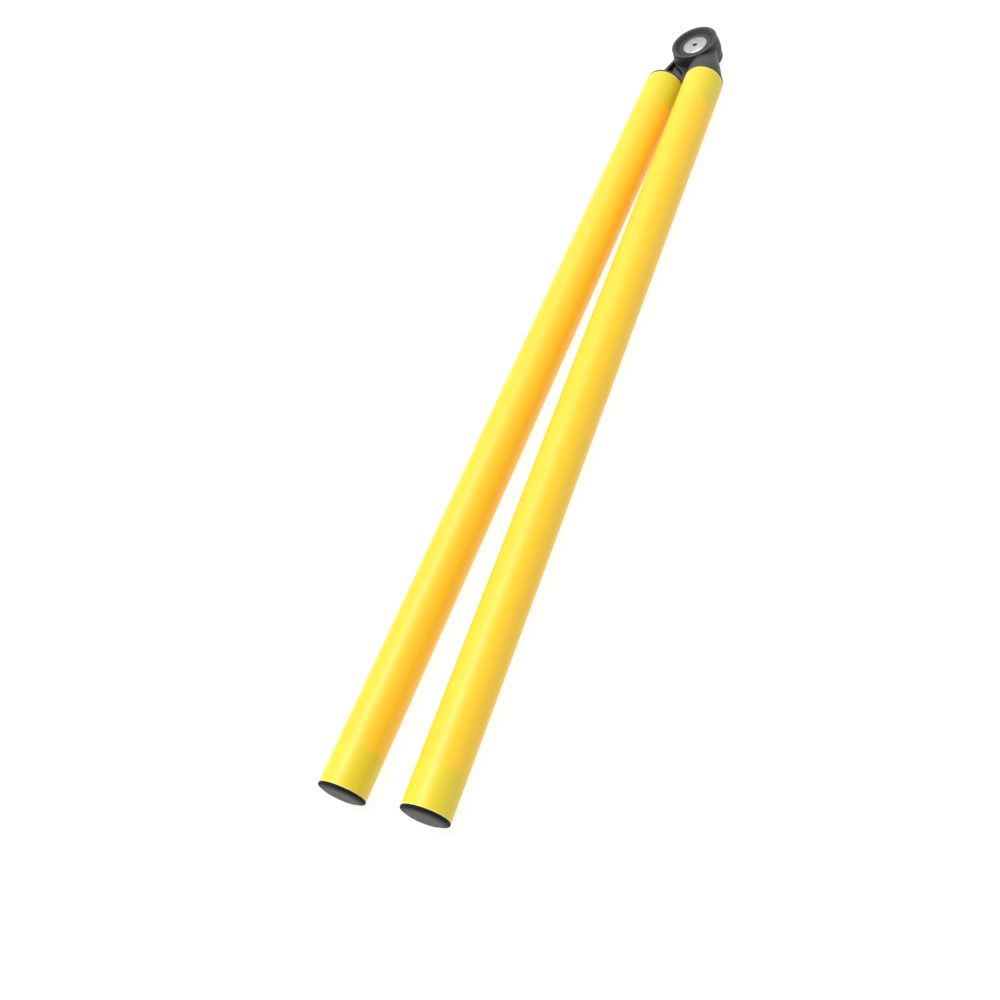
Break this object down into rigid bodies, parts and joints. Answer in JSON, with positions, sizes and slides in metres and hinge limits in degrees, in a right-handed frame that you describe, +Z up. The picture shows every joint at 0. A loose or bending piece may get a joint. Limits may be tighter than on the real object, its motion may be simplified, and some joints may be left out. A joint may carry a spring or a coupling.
{
  "type": "alignment stick",
  "caption": "Folding golf alignment stick: yellow plastic tubes joined by a black riveted hinge that swings from folded parallel to straight, with a cap on each far end.",
  "frame": {"origin": "centre of the footprint on the surface that the folded stick lies on", "axes": "+Z up, along the hinge axis; +Y along the stick towards the hinge; +X to the front stick's side"},
  "size_m": [0.0698, 0.5146, 0.0235],
  "materials": {
    "yellow_tube": "smooth extruded plastic, satin, slightly translucent",
    "black_moulding": "fine-grained moulded plastic with a soft sheen",
    "rivet_metal": "turned and tumbled, satin",
    "spring_steel": "rolled",
    "washer_plastic": "plain nylon"
  },
  "bodies": {
    "front_stick": {"front_tube": "yellow_tube", "front_end_cap": "black_moulding", "front_hinge_leaf": "black_moulding", "rivet_post": "rivet_metal", "rivet_barrel": "rivet_metal", "friction_washer": "washer_plastic", "front_wave_washer": "spring_steel", "rear_wave_washer": "spring_steel"},
    "rear_stick": {"rear_tube": "yellow_tube", "rear_end_cap": "black_moulding", "rear_hinge_leaf": "black_moulding"}
  },
  "joints": [
    {"name": "hinge", "type": "hinge", "parent": "front_stick", "child": "rear_stick", "pos_m": [0, 0.2425, 0.01175], "axis": [0, 0, -1], "range_deg": [-2.5, 177.5]}
  ]
}
